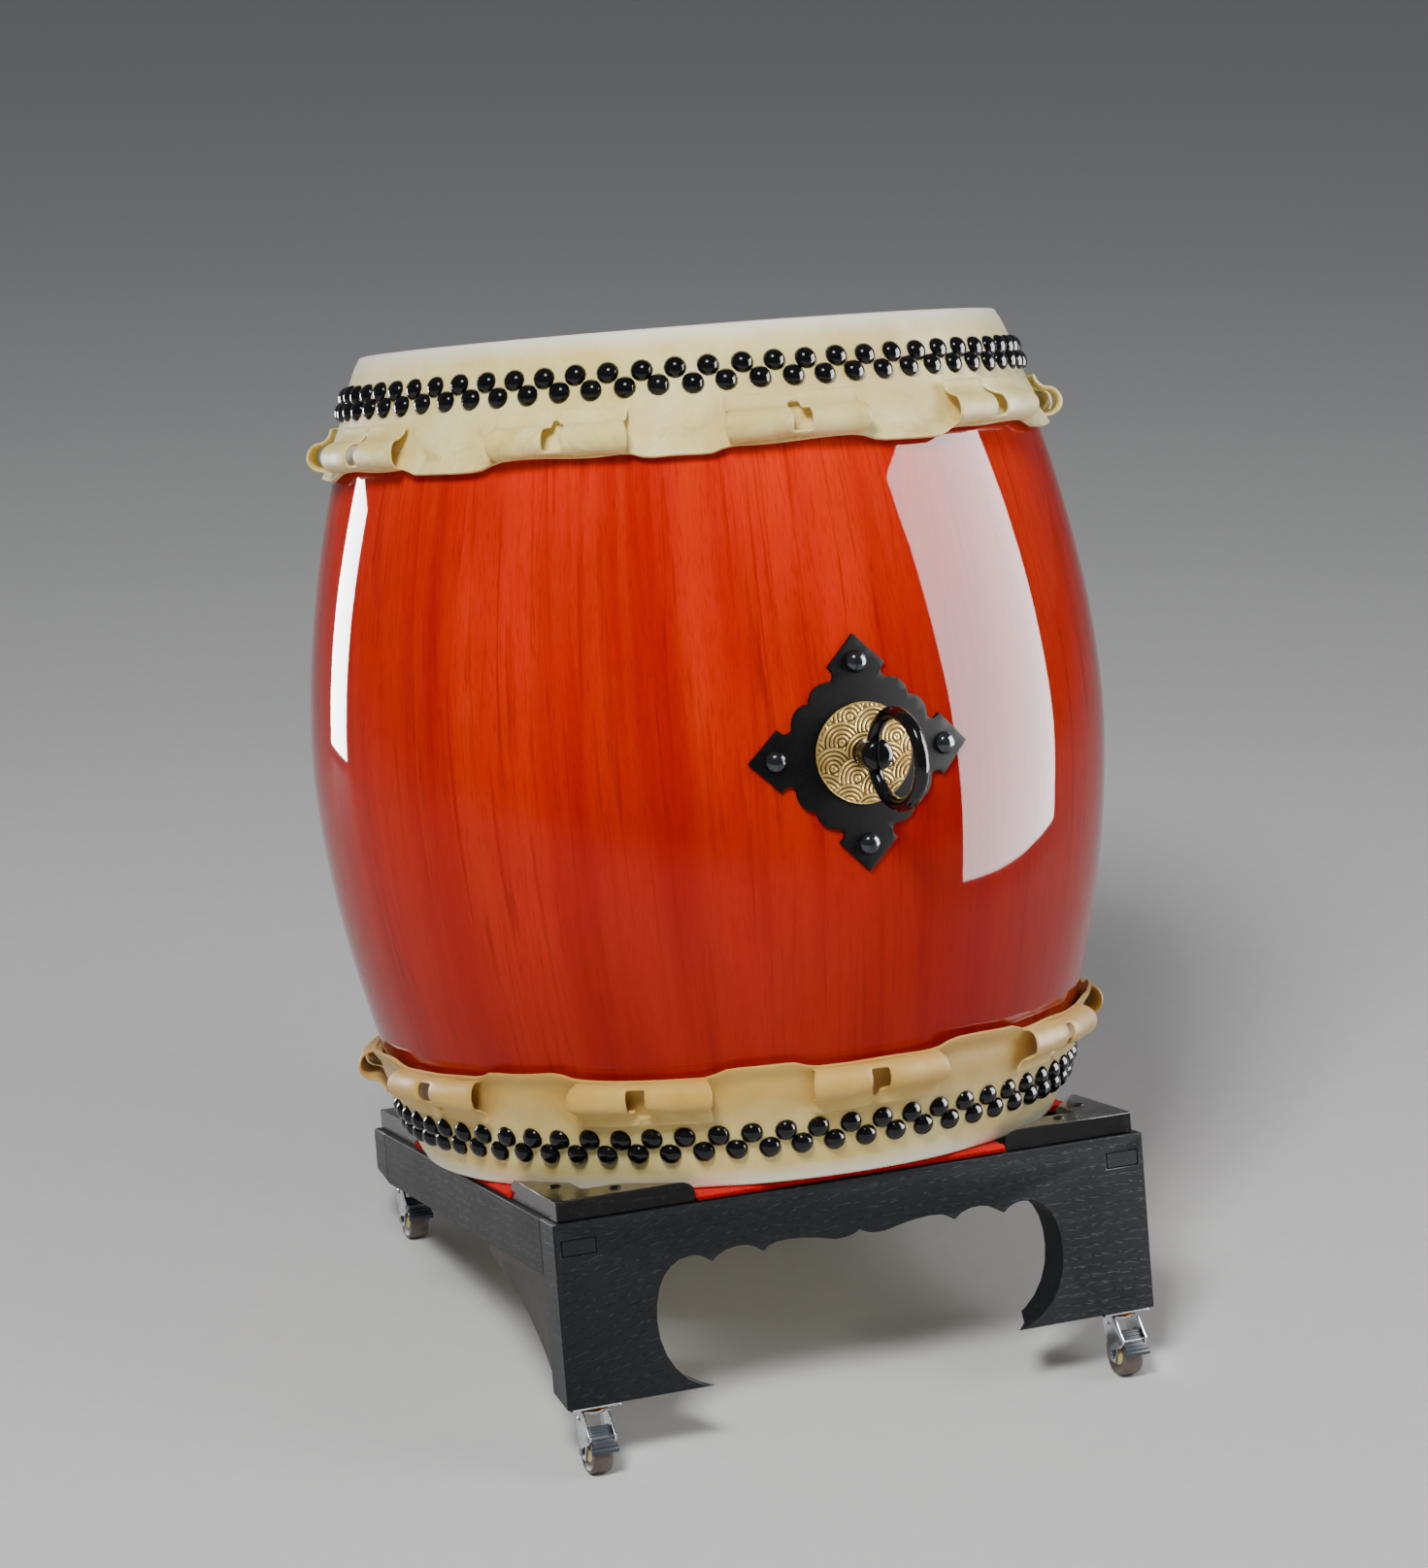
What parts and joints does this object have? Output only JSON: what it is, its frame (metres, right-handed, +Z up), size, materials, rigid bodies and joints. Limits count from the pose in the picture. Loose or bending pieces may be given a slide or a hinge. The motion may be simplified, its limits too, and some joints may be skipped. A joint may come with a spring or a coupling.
{
  "type": "barrel drum on wheeled stand",
  "caption": "Lacquered barrel drum with tacked rawhide heads and ring handles, on a slanted wooden stand with braked casters.",
  "frame": {"origin": "on the floor, under the middle of the whole object's box", "axes": "+Z up; -Y is the tall front of the stand, with one handle; the drum leans back towards +Y by 12 degrees; +X to the right of the front"},
  "size_m": [0.6, 0.7538, 0.7749],
  "materials": {
    "lacquer": "high-gloss red-orange lacquer over vertical wood grain",
    "rawhide": "mottled cream rawhide, slightly sheeny",
    "black_tacks": "gloss black enamel",
    "black_plate": "satin black with worn light edges",
    "brass_disc": "embossed, aged brass",
    "black_ring": "gloss black enamel",
    "stained_wood": "black stained open-grain wood",
    "block_wood": "black wood, polished top",
    "brown_wood": "dark brown wood, satin",
    "red_felt": "ribbed red felt",
    "chrome": "bright plated steel",
    "race": "orange brass plating",
    "tread": "grey-brown moulded rubber",
    "pedal": "dark grey ribbed plastic"
  },
  "bodies": {
    "stand": {"front_board": "stained_wood", "back_board": "stained_wood", "left_rail": "stained_wood", "left_gusset": "brown_wood", "right_rail": "stained_wood", "right_gusset": "brown_wood", "front_left_block": "block_wood", "front_right_block": "block_wood", "back_left_block": "block_wood", "back_right_block": "block_wood", "front_felt": "red_felt", "back_felt": "red_felt", "left_felt": "red_felt", "right_felt": "red_felt", "front_left_caster_plate": "chrome", "front_right_caster_plate": "chrome", "back_left_caster_plate": "chrome", "back_right_caster_plate": "chrome"},
    "drum": {"drum_shell": "lacquer", "top_head": "rawhide", "bottom_head": "rawhide", "top_tacks": "black_tacks", "bottom_tacks": "black_tacks", "front_handle_plate": "black_plate", "front_handle_disc": "brass_disc", "front_eyebolt": "black_ring", "front_upper_nail": "black_tacks", "front_lower_nail": "black_tacks", "front_left_nail": "black_tacks", "front_right_nail": "black_tacks", "back_handle_plate": "black_plate", "back_handle_disc": "brass_disc", "back_eyebolt": "black_ring", "back_upper_nail": "black_tacks", "back_lower_nail": "black_tacks", "back_left_nail": "black_tacks", "back_right_nail": "black_tacks"},
    "front_ring": {"front_ring": "black_ring"},
    "back_ring": {"back_ring": "black_ring"},
    "front_left_fork": {"front_left_caster_race": "race", "front_left_caster_fork": "chrome", "front_left_caster_axle": "chrome"},
    "front_left_wheel": {"front_left_caster_wheel": "tread"},
    "front_left_pedal": {"front_left_caster_pedal": "pedal"},
    "front_right_fork": {"front_right_caster_race": "race", "front_right_caster_fork": "chrome", "front_right_caster_axle": "chrome"},
    "front_right_wheel": {"front_right_caster_wheel": "tread"},
    "front_right_pedal": {"front_right_caster_pedal": "pedal"},
    "back_left_fork": {"back_left_caster_race": "race", "back_left_caster_fork": "chrome", "back_left_caster_axle": "chrome"},
    "back_left_wheel": {"back_left_caster_wheel": "tread"},
    "back_left_pedal": {"back_left_caster_pedal": "pedal"},
    "back_right_fork": {"back_right_caster_race": "race", "back_right_caster_fork": "chrome", "back_right_caster_axle": "chrome"},
    "back_right_wheel": {"back_right_caster_wheel": "tread"},
    "back_right_pedal": {"back_right_caster_pedal": "pedal"}
  },
  "joints": [
    {"name": "drum_lift", "type": "slide", "parent": "stand", "child": "drum", "axis": [0, 0.2079, 0.9781], "range_m": [0, 0.12]},
    {"name": "front_ring_swing", "type": "hinge", "parent": "drum", "child": "front_ring", "pos_m": [0, -0.31226, 0.49765], "axis": [0, 0.2079, 0.9781], "range_deg": [-88, 72]},
    {"name": "back_ring_swing", "type": "hinge", "parent": "drum", "child": "back_ring", "pos_m": [0, 0.31278, 0.3648], "axis": [0, 0.2079, 0.9781], "range_deg": [-88, 72]},
    {"name": "front_left_swivel", "type": "hinge", "parent": "stand", "child": "front_left_fork", "pos_m": [-0.206, -0.29802, 0.025], "axis": [0, 0, 1], "continuous": true},
    {"name": "front_left_wheel_spin", "type": "hinge", "parent": "front_left_fork", "child": "front_left_wheel", "pos_m": [-0.206, -0.31002, 0.016], "axis": [1, 0, 0], "continuous": true},
    {"name": "front_left_brake", "type": "hinge", "parent": "front_left_fork", "child": "front_left_pedal", "pos_m": [-0.206, -0.32222, 0.0306], "axis": [1, 0, 0], "range_deg": [0, 10]},
    {"name": "front_right_swivel", "type": "hinge", "parent": "stand", "child": "front_right_fork", "pos_m": [0.206, -0.29802, 0.025], "axis": [0, 0, 1], "continuous": true},
    {"name": "front_right_wheel_spin", "type": "hinge", "parent": "front_right_fork", "child": "front_right_wheel", "pos_m": [0.206, -0.31002, 0.016], "axis": [1, 0, 0], "continuous": true},
    {"name": "front_right_brake", "type": "hinge", "parent": "front_right_fork", "child": "front_right_pedal", "pos_m": [0.206, -0.32222, 0.0306], "axis": [1, 0, 0], "range_deg": [0, 10]},
    {"name": "back_left_swivel", "type": "hinge", "parent": "stand", "child": "back_left_fork", "pos_m": [-0.206, 0.13648, 0.025], "axis": [0, 0, 1], "continuous": true},
    {"name": "back_left_wheel_spin", "type": "hinge", "parent": "back_left_fork", "child": "back_left_wheel", "pos_m": [-0.206, 0.12448, 0.016], "axis": [1, 0, 0], "continuous": true},
    {"name": "back_left_brake", "type": "hinge", "parent": "back_left_fork", "child": "back_left_pedal", "pos_m": [-0.206, 0.11228, 0.0306], "axis": [1, 0, 0], "range_deg": [0, 10]},
    {"name": "back_right_swivel", "type": "hinge", "parent": "stand", "child": "back_right_fork", "pos_m": [0.206, 0.13648, 0.025], "axis": [0, 0, 1], "continuous": true},
    {"name": "back_right_wheel_spin", "type": "hinge", "parent": "back_right_fork", "child": "back_right_wheel", "pos_m": [0.206, 0.12448, 0.016], "axis": [1, 0, 0], "continuous": true},
    {"name": "back_right_brake", "type": "hinge", "parent": "back_right_fork", "child": "back_right_pedal", "pos_m": [0.206, 0.11228, 0.0306], "axis": [1, 0, 0], "range_deg": [0, 10]}
  ]
}
